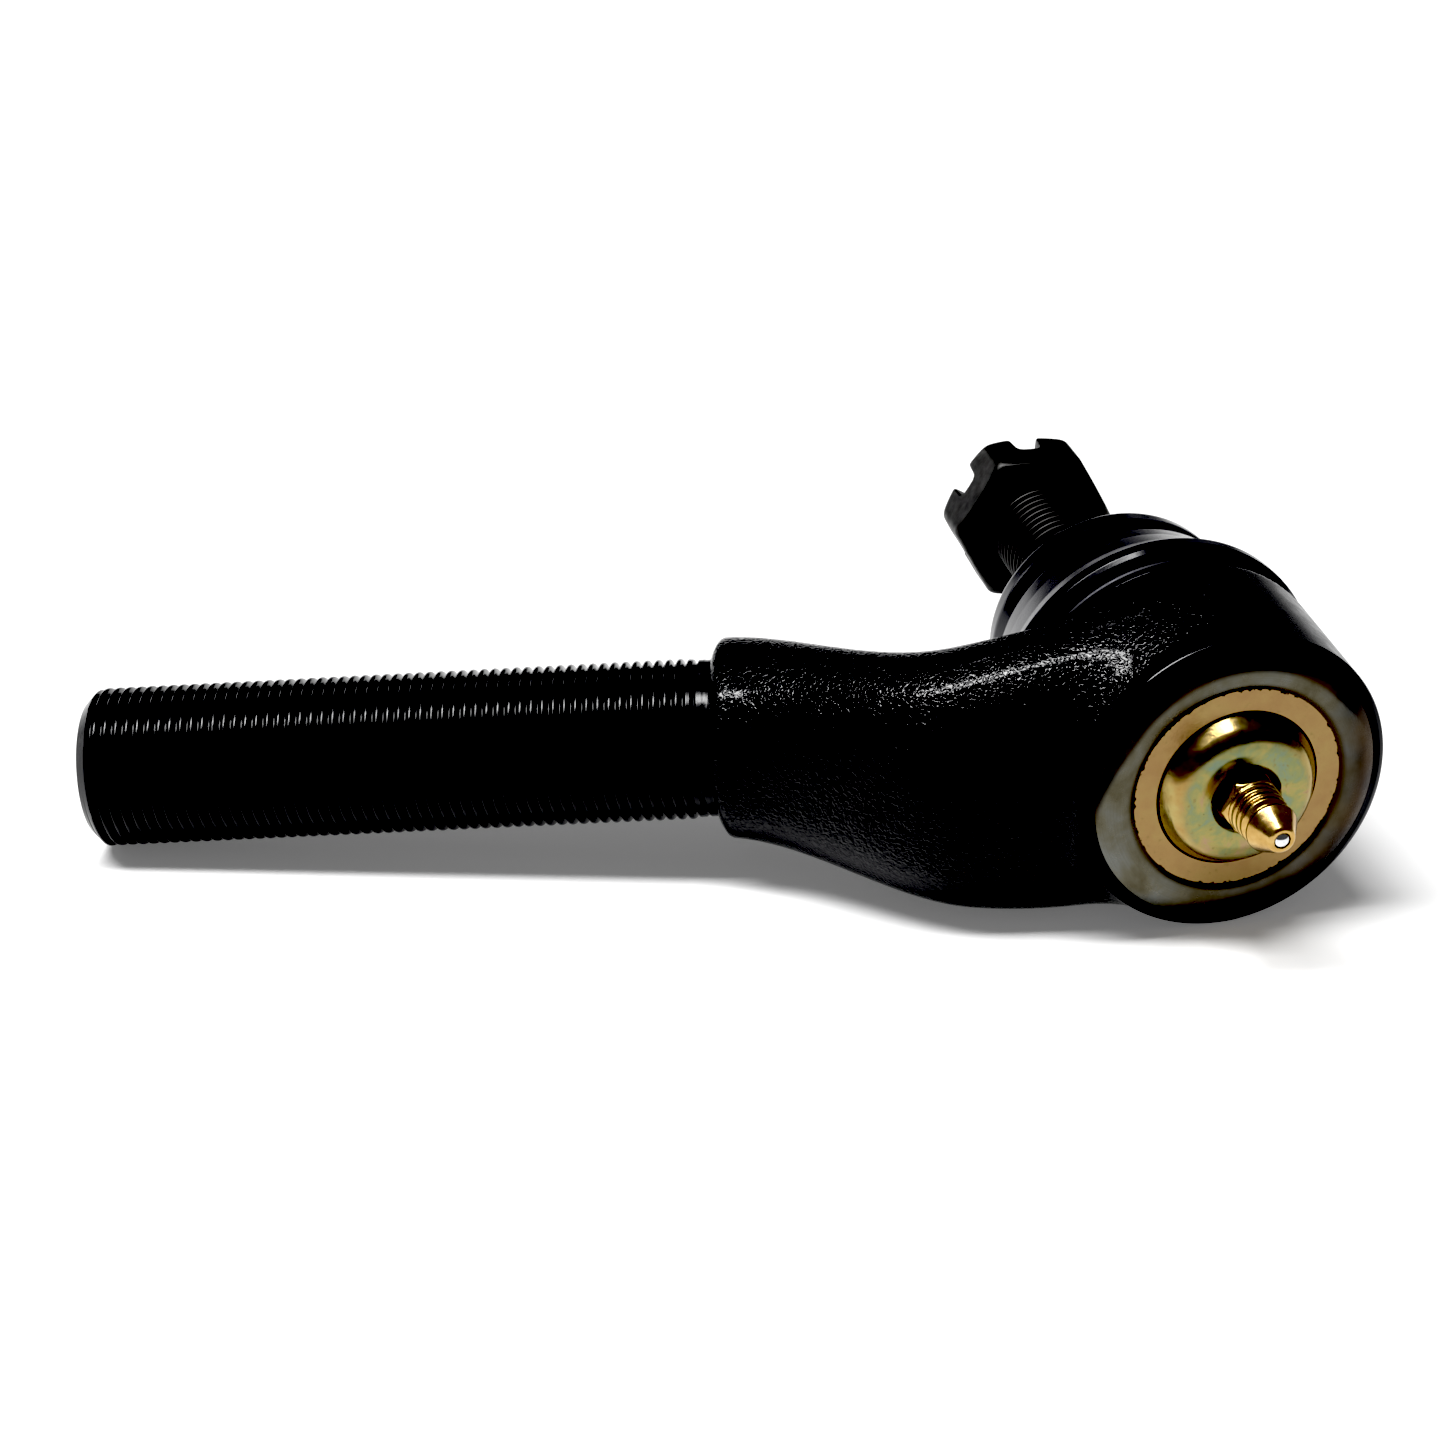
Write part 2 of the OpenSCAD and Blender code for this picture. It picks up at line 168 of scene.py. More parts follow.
def thread(frame_rows, start, end, crest, clip, fill=None, turns=128):
    """A right-hand helical V thread; clip and fill give the largest and smallest radius at each station."""
    per = len(THREAD_PROFILE)
    count = int(round((end - start) / PITCH)) + 2
    rows = np.concatenate([THREAD_PROFILE[:, 0] + i - 1 for i in range(count)])
    height = np.tile(THREAD_PROFILE[:, 1], count)
    angle = np.arange(turns) / turns
    station = start + (rows[:, None] + angle[None, :]) * PITCH
    radius = np.broadcast_to(crest - THREAD_DEPTH + THREAD_DEPTH * height[:, None], station.shape)
    station = np.clip(station, start, end)
    if fill:
        radius = np.maximum(radius, fill(station))
    radius = np.minimum(radius, clip(station))
    around = 2 * math.pi * angle
    local = np.stack([radius * np.cos(around), radius * np.sin(around), station], -1)
    # The last column of a row joins the first column of the row one pitch on
    n = len(rows)
    i, k = np.meshgrid(np.arange(n - per), np.arange(turns), indexing="ij")
    wrap = k == turns - 1
    k2 = np.where(wrap, 0, k + 1)
    i2 = np.where(wrap, i + per, i)
    keep = (i2 + 1 < n).ravel()
    quad = [i * turns + k, i2 * turns + k2, (i2 + 1) * turns + k2, (i + 1) * turns + k]
    return local.reshape(-1, 3) @ frame_rows, np.stack(quad, -1).reshape(-1, 4)[keep]


def coil(frame_rows, wire_r, radius, start, end, turns, sides=14):
    """A round wire wound on a helix, with its wire centre running from start to end."""
    steps_per_turn = 48
    t = np.linspace(0, 2 * math.pi * turns, int(steps_per_turn * turns) + 1)
    rise = (end - start) / t[-1]
    middle = np.stack([radius * np.cos(t), radius * np.sin(t), start + rise * t], -1)
    out = np.stack([np.cos(t), np.sin(t), 0 * t], -1)
    along = np.stack([-radius * np.sin(t), radius * np.cos(t), rise + 0 * t], -1)
    across = np.cross(along / np.linalg.norm(along, axis=1)[:, None], out)
    s = (np.arange(sides) * 2 * math.pi / sides)[:, None]
    local = middle[:, None] + wire_r * (np.cos(s) * out[:, None] + np.sin(s) * across[:, None])
    i, k = np.meshgrid(np.arange(len(t) - 1), np.arange(sides), indexing="ij")
    k2 = (k + 1) % sides
    quad = [i * sides + k, i * sides + k2, (i + 1) * sides + k2, (i + 1) * sides + k]
    return local.reshape(-1, 3) @ frame_rows, np.stack(quad, -1).reshape(-1, 4)


def surface_nets(distance, low, high, step):
    """A quad mesh of the zero surface of a signed distance, with one vertex per crossed cell."""
    low = np.array(low, float)
    counts = np.ceil((np.array(high) - low) / step).astype(int) + 1
    axes = [low[d] + step * np.arange(counts[d]) for d in range(3)]
    field = np.empty(counts, np.float32)
    for i, x in enumerate(axes[0]):
        yy, zz = np.meshgrid(axes[1], axes[2], indexing="ij")
        field[i] = distance(np.stack([np.full(yy.shape, x), yy, zz], -1))
    inside = field < 0
    ids, spots, quads = [], [], []
    for d in range(3):
        u, v = (d + 1) % 3, (d + 2) % 3
        near = np.take(inside, range(counts[d] - 1), d)
        far = np.take(inside, range(1, counts[d]), d)
        e = np.argwhere(near != far)
        e = e[(e[:, [u, v]] > 0).all(1) & (e[:, [u, v]] < counts[[u, v]] - 1).all(1)]
        unit = np.eye(3, dtype=int)
        f0 = field[tuple(e.T)]
        f1 = field[tuple((e + unit[d]).T)]
        spot = e.astype(float)
        spot[:, d] += f0 / (f0 - f1)
        ring = []
        for du, dv in ((0, 0), (1, 0), (1, 1), (0, 1)):
            cell = np.ravel_multi_index((e - du * unit[u] - dv * unit[v]).T, counts)
            ids.append(cell)
            spots.append(spot)
            ring.append(cell)
        ring = np.stack(ring, 1)
        flip = ~near[tuple(e.T)]
        ring[flip] = ring[flip][:, ::-1]
        quads.append(ring)
    used, back = np.unique(np.concatenate(ids), return_inverse=True)
    spots = np.concatenate(spots)
    share = np.bincount(back)
    verts = np.stack([np.bincount(back, spots[:, d]) / share for d in range(3)], 1) * step + low
    return verts, np.searchsorted(used, np.concatenate(quads))


def slope(distance, p, h=0.02):
    """Gradient of a signed distance at points p."""
    return np.stack([(distance(p + h * e) - distance(p - h * e)) / (2 * h) for e in np.eye(3)], -1)


def settle(distance, p, rounds=4):
    """Moves points onto the zero surface of a signed distance."""
    longest, flattest = 0.4, 0.2
    for _ in range(rounds):
        g = slope(distance, p)
        step = np.clip(distance(p), -longest, longest)
        p = p - step[:, None] * g / np.maximum((g * g).sum(-1), flattest)[:, None]
    return p


def smin(a, b, k):
    """The smaller of two distances, with a fillet of size k where they cross."""
    h = np.clip(0.5 + 0.5 * (b - a) / k, 0, 1)
    return b * (1 - h) + a * h - k * h * (1 - h)


def smax(a, b, k):
    """The larger of two distances, with a fillet of size k where they cross."""
    return -smin(-a, -b, k)


def smooth(t):
    """An S-shaped step from 0 to 1."""
    c = np.clip(t, 0, 1)
    return c * c * (3 - 2 * c)


def turned(outline, p, frame_rows):
    """Signed distance to a closed outline turned on an axis."""
    q = p @ frame_rows.T
    r, a = np.hypot(q[..., 0], q[..., 1]), q[..., 2]
    pts = np.array([c[:2] for c in outline], float)
    best = np.full(r.shape, 1e9)
    inside = np.zeros(r.shape, bool)
    for (r0, a0), (r1, a1) in zip(pts, np.roll(pts, -1, 0)):
        dr, da = r1 - r0, a1 - a0
        t = np.clip(((r - r0) * dr + (a - a0) * da) / (dr * dr + da * da), 0, 1)
        best = np.minimum(best, (r - r0 - t * dr) ** 2 + (a - a0 - t * da) ** 2)
        if a0 != a1:
            inside ^= ((a0 > a) != (a1 > a)) & (r < r0 + (a - a0) * dr / da)
    return np.where(inside, -1, 1) * np.sqrt(best)


# Distance in metres within which vertices are welded
WELD = 2e-7


def piece(name, verts, faces, body, material, slot_name, sharp=35):
    """A mesh from millimetre points, welded, smooth-shaded and, when a body is named, riding on it."""
    mesh = bpy.data.meshes.new(name)
    faces = np.asarray(faces)
    mesh.vertices.add(len(verts))
    mesh.vertices.foreach_set("co", (np.asarray(verts) * MM).astype(np.float32).ravel())
    mesh.loops.add(faces.size)
    mesh.loops.foreach_set("vertex_index", faces.astype(np.int32).ravel())
    mesh.polygons.add(len(faces))
    mesh.polygons.foreach_set("loop_start", np.arange(0, faces.size, faces.shape[1], dtype=np.int32))
    mesh.update(calc_edges=True)
    bm = bmesh.new()
    bm.from_mesh(mesh)
    bmesh.ops.remove_doubles(bm, verts=bm.verts, dist=WELD)
    bmesh.ops.dissolve_degenerate(bm, edges=bm.edges, dist=WELD / 2)
    holes = [e for e in bm.edges if e.is_boundary]
    if holes:
        bmesh.ops.holes_fill(bm, edges=holes, sides=0)
    bmesh.ops.recalc_face_normals(bm, faces=bm.faces)
    bm.to_mesh(mesh)
    bm.free()
    mesh.validate()
    mesh.polygons.foreach_set("use_smooth", np.ones(len(mesh.polygons), bool))
    mesh.set_sharp_from_angle(angle=math.radians(sharp))
    mesh.materials.append(material)
    ob = bpy.data.objects.new(name, mesh)
    bpy.context.scene.collection.objects.link(ob)
    if body:
        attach(ob, body)
    return ob


def points_of(ob, frame_rows):
    """Vertices of an object in millimetres, in the axes of a row frame."""
    co = np.empty(len(ob.data.vertices) * 3)
    ob.data.vertices.foreach_get("co", co)
    return co.reshape(-1, 3) / MM @ frame_rows.T


def paint_value(ob, name, values):
    """Stores one number per vertex for the material to read."""
    layer = ob.data.attributes.new(name, "FLOAT", "POINT")
    layer.data.foreach_set("value", np.asarray(values, np.float32))


# ---- materials ----


def is_socket(value):
    return isinstance(value, bpy.types.NodeSocket)


class Surface:
    """A node material, with short calls for the nodes that it uses."""

    def __init__(self, name, color, roughness, metallic=0.0, **sockets):
        self.mat = bpy.data.materials.new(name)
        self.mat.use_nodes = True
        self.tree = self.mat.node_tree
        self.shader = self.tree.nodes["Principled BSDF"]
        self.shader.inputs["Metallic"].default_value = metallic
        self.put("Base Color", color)
        self.put("Roughness", roughness)
        for key, value in sockets.items():
            self.put(key.replace("_", " "), value)
        self.height = None

    def feed(self, node, socket, value):
        """Links a socket to another node's output, or sets its number, vector or colour."""
        if is_socket(value):
            self.tree.links.new(value, node.inputs[socket])
        elif node.inputs[socket].type == "RGBA":
            node.inputs[socket].default_value = (*(value if isinstance(value, tuple) else 3 * (value,)), 1.0)
        else:
            node.inputs[socket].default_value = value

    def put(self, socket, value):
        self.feed(self.shader, socket, value)

    def noise(self, per_mm, detail=2.0, rough=0.5, at=None, warp=0.0):
        """Noise with about per_mm features in a millimetre, in object coordinates unless at gives others."""
        at = at or self.tree.nodes.new("ShaderNodeTexCoord").outputs["Object"]
        node = self.tree.nodes.new("ShaderNodeTexNoise")
        self.feed(node, "Vector", at)
        self.feed(node, "Scale", per_mm / MM)
        self.feed(node, "Detail", detail)
        self.feed(node, "Roughness", rough)
        self.feed(node, "Distortion", warp)
        return node.outputs["Fac"]

    def value(self, name):
        """A number that paint_value stored per vertex."""
        node = self.tree.nodes.new("ShaderNodeAttribute")
        node.attribute_name = name
        return node.outputs["Fac"]

    def spread(self, fac, scale):
        """A vector whose X is fac times scale, for noise that runs in rings."""
        node = self.tree.nodes.new("ShaderNodeCombineXYZ")
        self.feed(node, "X", self.sums("MULTIPLY", fac, scale))
        return node.outputs["Vector"]

    def ramp(self, fac, *stops):
        """Colours or grey values at places along fac."""
        node = self.tree.nodes.new("ShaderNodeValToRGB")
        elements = node.color_ramp.elements
        while len(elements) < len(stops):
            elements.new(0.5)
        for e, (place, c) in zip(elements, stops):
            e.position = place
            e.color = (*c, 1.0) if isinstance(c, tuple) else (c, c, c, 1.0)
        self.feed(node, "Fac", fac)
        return node.outputs["Color"]

    def mottle(self, per_mm, low, high, detail=4.0, rough=0.5):
        """Noise stretched between two colours or two grey values."""
        return self.ramp(self.noise(per_mm, detail, rough), (0.3, low), (0.7, high))

    def sums(self, kind, *numbers):
        """A math node of one kind on numbers or outputs."""
        node = self.tree.nodes.new("ShaderNodeMath")
        node.operation = kind
        for i, v in enumerate(numbers):
            self.feed(node, i, v)
        return node.outputs[0]

    def mix(self, fac, a, b):
        """Colour a where fac is 0 and colour b where it is 1."""
        node = self.tree.nodes.new("ShaderNodeMix")
        node.data_type = "RGBA"
        fac_in, a_in, b_in, color_out = 0, 6, 7, 2
        self.feed(node, fac_in, fac)
        self.feed(node, a_in, a)
        self.feed(node, b_in, b)
        return node.outputs[color_out]

    def ragged(self, name, per_mm=0.75, swing=3.4):
        """A mask that turns on where a per-vertex value nears 1, with a border that noise makes ragged."""
        tear = self.sums("MULTIPLY_ADD", self.noise(per_mm, 3.0, 0.6), swing, -0.5 * swing)
        return self.ramp(self.sums("ADD", self.value(name), tear), (0.84, 0.0), (0.92, 1.0))

    def bump(self, height, depth_mm):
        """Adds relief: height runs from 0 to 1 over depth_mm."""
        node = self.tree.nodes.new("ShaderNodeBump")
        self.feed(node, "Height", height)
        self.feed(node, "Distance", depth_mm * MM)
        self.feed(node, "Strength", 1.0)
        if self.height is not None:
            self.feed(node, "Normal", self.height)
        self.height = node.outputs["Normal"]
        self.put("Normal", self.height)


def forging_paint():
    """Gloss black over a forged skin; the turned parts of the head are smoother and duller."""
    s = Surface("forging_paint", (0.006, 0.006, 0.0075), 0.25, IOR=1.34)
    turned_part = s.value("turned")
    s.put("Base Color", s.mottle(0.12, (0.004, 0.004, 0.005), (0.009, 0.009, 0.011)))
    forged = s.mottle(0.35, 0.05, 0.11, 5, 0.6)
    s.put("Roughness", s.mix(turned_part, forged, s.mottle(0.5, 0.22, 0.32, 3)))
    wrinkles = s.ramp(s.noise(1.9, 0.5, 0.4, warp=0.7), (0.38, 0.0), (0.62, 1.0))
    s.bump(s.sums("MULTIPLY", wrinkles, s.sums("SUBTRACT", 1.0, turned_part)), 0.056)
    s.bump(s.noise(4.0, 2.0, 0.6), 0.004)
    return s.mat


def thread_paint():
    s = Surface("thread_paint", (0.005, 0.005, 0.006), 0.28, IOR=1.34)
    s.put("Base Color", s.mottle(0.4, (0.004, 0.004, 0.005), (0.01, 0.01, 0.012)))
    s.put("Roughness", s.mottle(0.5, 0.1, 0.24, rough=0.6))
    s.bump(s.noise(0.8, 3.0, 0.6), 0.02)
    return s.mat


def rim_paint():
    s = Surface("rim_paint", (0.006, 0.006, 0.0075), 0.16, IOR=1.32)
    s.put("Base Color", s.mottle(0.25, (0.004, 0.004, 0.006), (0.01, 0.01, 0.013)))
    s.put("Roughness", s.mottle(0.6, 0.08, 0.16, rough=0.6))
    s.bump(s.noise(0.7, 2.0), 0.008)
    return s.mat


def bare_lip():
    """Rolled steel lip: grey-brown with circular marks, darker low on the right, with painted shade over its
    outer top and a brown band of painted shade at its inner edge.
    """
    s = Surface("bare_lip", (0.2, 0.19, 0.15), 0.42, metallic=1.0)
    ring = s.value("ring")
    tint = s.ramp(
        s.noise(0.13, 4, 0.6, warp=0.3),
        (0.32, (0.08, 0.072, 0.05)), (0.5, (0.125, 0.12, 0.095)), (0.68, (0.155, 0.16, 0.15)),
    )
    marks = s.noise(0.001, 3, 0.6, at=s.spread(ring, 9.0))
    tint = s.mix(s.ramp(marks, (0.35, 0.0), (0.7, 0.45)), tint, (0.09, 0.08, 0.06))
    # Dark tones: darker low on the right, and painted shade over the lip's outer top
    dark_low_and_top_shade = s.ramp(s.noise(0.1, 3, 0.5), (0.4, (0.02, 0.02, 0.026)), (0.62, (0.06, 0.045, 0.034)))
    tint = s.mix(s.value("dark_low_and_top_shade"), tint, dark_low_and_top_shade)
    # Painted shade: a dark brown band along the lip's inner edge, next to the cover
    s.put("Base Color", s.mix(s.value("edge"), tint, (0.04, 0.028, 0.014)))
    s.put("Roughness", s.mottle(0.6, 0.24, 0.36, rough=0.6))
    s.bump(marks, 0.03)
    s.bump(s.noise(1.6, 3.0), 0.01)
    return s.mat


def yellow_zinc():
    """Yellow plating: tan on the flat ring, iridescent green on the dome's top, gold on its wall, with
    painted shade in the step's groove and in the funnel.
    """
    s = Surface("yellow_zinc", (0.6, 0.45, 0.24), 0.34, metallic=1.0)
    tan = s.ramp(
        s.noise(0.15, 5, 0.65),
        (0.3, (0.25, 0.16, 0.085)), (0.5, (0.275, 0.187, 0.093)), (0.7, (0.29, 0.215, 0.1)),
    )
    green = s.ramp(
        s.noise(0.28, 5, 0.65, warp=0.6),
        (0.3, (0.17, 0.225, 0.18)), (0.44, (0.22, 0.235, 0.12)),
        (0.56, (0.3, 0.26, 0.11)), (0.7, (0.33, 0.22, 0.15)),
    )
    c = s.mix(s.value("plateau"), tan, green)
    c = s.mix(s.value("wall"), c, s.mottle(0.35, (0.34, 0.22, 0.09), (0.4, 0.34, 0.15), rough=0.6))
    # Painted shade: dark brown inside the funnel around the fitting
    c = s.mix(s.value("funnel"), c, (0.12, 0.06, 0.02))
    pits = s.ramp(s.noise(1.4, 2, 0.4), (0.28, 1.0), (0.34, 0.0))
    c = s.mix(s.sums("MULTIPLY", pits, 0.5), c, (0.2, 0.15, 0.07))
    # Painted shade: a thin dark brown line in the groove of the step
    c = s.mix(s.value("step"), c, (0.06, 0.035, 0.015))
    s.put("Base Color", s.mix(s.ragged("edge"), c, (0.02, 0.014, 0.01)))
    s.put("Roughness", s.mottle(0.8, 0.15, 0.26, 3, 0.6))
    s.bump(s.noise(2.2, 4.0, 0.7), 0.012)
    s.bump(s.noise(0.25, 2.0), 0.05)
    return s.mat


def fitting_zinc():
    s = Surface("fitting_zinc", (0.62, 0.42, 0.2), 0.24, metallic=1.0)
    gold = s.ramp(
        s.noise(0.4, 4, 0.6),
        (0.3, (0.4, 0.25, 0.09)), (0.5, (0.5, 0.33, 0.13)), (0.7, (0.6, 0.44, 0.2)),
    )
    # Painted shade: dark brown from the middle of the hexagon towards the plate, where the fitting sits down
    # in the funnel
    s.put("Base Color", s.mix(s.value("root"), gold, (0.15, 0.075, 0.03)))
    s.put("Roughness", s.mottle(1.0, 0.14, 0.28, 3, 0.6))
    s.bump(s.noise(2.5, 3.0, 0.6), 0.006)
    return s.mat


def boot_rubber():
    s = Surface("boot_rubber", (0.008, 0.008, 0.011), 0.25, IOR=1.34)
    s.put("Base Color", s.mottle(0.2, (0.006, 0.006, 0.009), (0.012, 0.012, 0.017), rough=0.6))
    s.put("Roughness", s.mottle(0.4, 0.14, 0.22, rough=0.6))
    s.bump(s.noise(0.12, 1.0), 0.03)
    s.bump(s.noise(2.5, 3.0), 0.003)
    return s.mat


def black_oxide():
    s = Surface("black_oxide", (0.012, 0.012, 0.014), 0.42, metallic=0.2)
    s.put("Base Color", s.mottle(0.3, (0.008, 0.008, 0.009), (0.02, 0.019, 0.018), 5, 0.65))
    s.put("Roughness", s.mottle(0.7, 0.34, 0.55, rough=0.6))
    s.bump(s.noise(2.0, 4.0, 0.6), 0.012)
    return s.mat


def steel(name, color, low, high, grain, relief=0.006):
    """Plain steel of a colour and a range of roughness, with grain features in a millimetre."""
    s = Surface(name, color, 0.3, metallic=1.0)
    s.put("Base Color", s.mottle(grain, tuple(0.7 * c for c in color), color, rough=0.6))
    s.put("Roughness", s.mottle(2 * grain, low, high, 3, 0.6))
    s.bump(s.noise(3 * grain, 3.0), relief)
    return s.mat


def seal_rubber():
    s = Surface("seal_rubber", (0.02, 0.02, 0.02), 0.6)
    s.put("Base Color", s.mottle(0.5, (0.015, 0.015, 0.015), (0.03, 0.03, 0.03)))
    s.put("Roughness", s.mottle(1.0, 0.5, 0.7, 3))
    s.bump(s.noise(2.0, 3.0), 0.01)
    return s.mat


def floor_white():
    s = Surface("floor_white", (0.9, 0.9, 0.9), 0.6, Emission_Color=(1, 1, 1), Emission_Strength=0.15)
    s.put("Base Color", s.mottle(0.01, (0.9, 0.9, 0.9), (0.92, 0.92, 0.92), 2))
    return s.mat


# ---- forged housing ----

# Places along X of the neck's start at the thread, of its furthest swing, and of its root in the barrel
NECK_END = -61.6
NECK_PEAK = NECK_END + 33
NECK_ROOT = 3.0
# Half thickness and half height of the neck's section, at the thread and near the barrel
HALF_T_END, HALF_T_ROOT = 12.4, 10.6
HALF_H_END, HALF_H_ROOT = 12.6, 20
# Swing of the neck's middle towards -Y, at its peak and at its root
SWING_PEAK, SWING_ROOT = 13.6, 9
# Exponent of the section's soft-cornered outline
SECTION_POWER = 2.6
# Stations on the head axis of the face that carries the rim, and of the shoulder under the boot
RIM_A = -18.9
SHOULDER_A = 1.8
# Radius of the machined barrel at the rim
BARREL_R = 21.0
BARREL = [
    (0, RIM_A - 6), (BARREL_R - 0.3, RIM_A - 6), (BARREL_R, RIM_A), (BARREL_R + 1, SHOULDER_A - 1.2),
    (21.2, SHOULDER_A), (0, SHOULDER_A),
]
COLLAR = [(0, SHOULDER_A - 4), (17.4, SHOULDER_A - 4), (17.4, 10.0), (16.9, 10.5), (0, 10.5)]
BORE = [(0, lip_a - 9), (15.1, lip_a - 9), (15.1, 8.6), (10.4, 8.6), (11, 12), (0, 12)]
FORGING_STEP = 0.55


def neck_distance(p):
    """Signed distance to the forged neck: a soft-cornered section that swings and swells towards the head."""
    x, y, z = p[..., 0], p[..., 1], p[..., 2]
    swing_in = SWING_PEAK * smooth((x - NECK_END) / (NECK_PEAK - NECK_END))
    swing_out = SWING_PEAK + (SWING_ROOT - SWING_PEAK) * smooth((x - NECK_PEAK) / (NECK_ROOT - NECK_PEAK))
    mid = -np.where(x < NECK_PEAK, swing_in, swing_out)
    half_t = HALF_T_END + (HALF_T_ROOT - HALF_T_END) * smooth((x - NECK_END) / 30)
    half_h = HALF_H_END + (HALF_H_ROOT - HALF_H_END) * smooth((x - NECK_END + 4.4) / 58)
    u, v = np.abs(y - mid) / half_t, np.abs(z) / half_h
    power, tiny = SECTION_POWER, 1e-9
    rho = (u**power + v**power + tiny) ** (1 / power)
    lean = np.sqrt((u ** (power - 1) / half_t) ** 2 + (v ** (power - 1) / half_h) ** 2 + tiny)
    return (rho - 1) / np.maximum(lean * rho ** (1 - power), 0.03)


def forging_body(p):
    """Neck and barrel in one, before the rim face is cut."""
    x = p[..., 0]
    neck = smax(neck_distance(p), NECK_END - x, 0.5)
    # A cone bevels the neck's end down to the thread
    cone = 0.5 * (np.hypot(p[..., 1], p[..., 2]) - 11.3 - 1.7 * (x - NECK_END))
    neck = smax(neck, cone, 0.7)
    neck = smax(neck, x - NECK_ROOT, 1.0)
    body = smin(neck, turned(BARREL, p, HEAD), 5.0)
    # A round seat is cut above the shoulder, where the boot stands
    q = p @ HEAD.T
    over_seat = q[..., 2] - SHOULDER_A
    reach = np.hypot(q[..., 0], q[..., 1])
    seat = smax(-over_seat, reach - 23.5 - np.maximum(over_seat, 0), 1.0)
    body = smax(body, -seat, 1.2)
    body = np.minimum(body, turned(COLLAR, p, HEAD))
    return np.maximum(body, -turned(BORE, p, HEAD))


def rim_cut(p):
    return RIM_A - p @ HEAD[2]


def forging(p):
    return np.maximum(forging_body(p), rim_cut(p))


def sharpen_rim(verts):
    """Moves the vertices near the rim's edge onto it, where the body's side meets the cut face."""
    reach = 0.8 * FORGING_STEP
    near = (np.abs(forging_body(verts)) < reach) & (np.abs(rim_cut(verts)) < reach)
    edge = verts[near]
    for _ in range(4):
        g1, g2 = slope(forging_body, edge), np.tile(-HEAD[2], (len(edge), 1))
        c = (g1 * g2).sum(-1)
        a, b, e = (g1 * g1).sum(-1), forging_body(edge), rim_cut(edge)
        det = np.maximum(a - c * c, 0.05)
        edge = edge - ((b - c * e) / det)[:, None] * g1 - ((a * e - c * b) / det)[:, None] * g2
    verts[near] = edge
    return verts


def build_forging(material):
    verts, faces = surface_nets(forging, (-64, -36, -24), (28, 14, 24), FORGING_STEP)
    verts = sharpen_rim(settle(forging, verts))
    ob = piece("forging", verts, faces, "housing", material, "forging_paint", 40)
    q = points_of(ob, HEAD)
    wall = BARREL_R + (q[:, 2] - RIM_A) / (SHOULDER_A - RIM_A)
    paint_value(ob, "turned", 1 - smooth((np.hypot(q[:, 0], q[:, 1]) - wall - 0.05) / 0.5))
    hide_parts("housing")


# ---- shank ----

SHANK_R = 10.9
# Stations of the thread's start, hidden in the neck, and of its shoulder, where it fades out
SHANK_START = 58.0
SHANK_SHOULDER = 63.5


def shank_clip(station):
    """The crests sink a little at the shoulder, and the free end is chamfered."""
    fade = SHANK_R - 0.25 + 0.25 * smooth((station - SHANK_SHOULDER) / 2)
    return np.minimum(fade, SHANK_R + (shank_end - 1.0) - station - 0.6)


def shank_fill(station):
    """The last turn runs out towards the shoulder."""
    return 10.6 - 0.7 * smooth((station - 62.4) / 2.2)


def build_shank(material):
    body = thread(SHANK, SHANK_START, shank_end, SHANK_R, shank_clip, shank_fill)
    piece("shank", *body, "housing", material, "forging_paint", 60)


# ---- rolled lip of the head, with its painted shoulder ----

# The lip's crown stands furthest out at the first radius, and runs between the other two
CROWN_R = 16.0
CROWN_IN, CROWN_OUT = 14.4, 19.25


def build_rim(material):
    outline = corners([
        (20.98, RIM_A), (20.9, RIM_A - 0.2, 0.15), (20.3, lip_a + 1.36, 0.5), (19.2, lip_a + 1.06),
        (17.2, RIM_A + 0.1), (20.9, RIM_A + 0.1),
    ])
    piece("rim", *lathe(outline, HEAD), "housing", material, "forging_paint", 35)


def build_lip(material):
    crown = [
        (r, lip_a + 0.105 * (r - CROWN_R) ** 2 + 0.3 * max(0, 15 - r) ** 2)
        for r in np.linspace(CROWN_OUT, CROWN_IN, 22)
    ]
    outline = corners([
        *crown, (14.12, lip_a + 0.5), (14.12, lip_a + 0.52), (17.3, RIM_A + 0.05), (19.0, RIM_A + 0.05),
    ])
    ob = piece("lip", *lathe(outline, HEAD), "housing", material, "forging_paint", 35)
    q = points_of(ob, HEAD)
    reach, angle = np.hypot(q[:, 0], q[:, 1]), np.arctan2(q[:, 1], q[:, 0])
    paint_value(ob, "ring", reach)
    # Darker low on the right; and painted shade outside a border that comes further in towards the top, where
    # the lip's outer slope faces up
    low_right = smooth((np.cos(angle - 0.7) + 0.1) / 0.9) * (0.5 + 0.5 * smooth((reach - 15.2) / 2.5))
    bare_to = 19.6 - 2.8 * smooth((0.25 - np.sin(angle)) / 0.9)
    top_outer = smooth((reach - bare_to) / 0.8 + 0.5)
    paint_value(ob, "dark_low_and_top_shade", 0.92 * np.maximum(low_right, top_outer))
    # Mask of painted shade at the inner edge, where the lip meets the cover
    paint_value(ob, "edge", 0.85 * (1 - smooth((reach - CROWN_IN + 0.1) / 1.0)))


# ---- cover plate ----

# Radii of the plate's rim, of the outer side of its step, and of the funnel around the fitting
PLATE_R = 14.2
STEP_R = 11.0
FUNNEL_R = 4.0


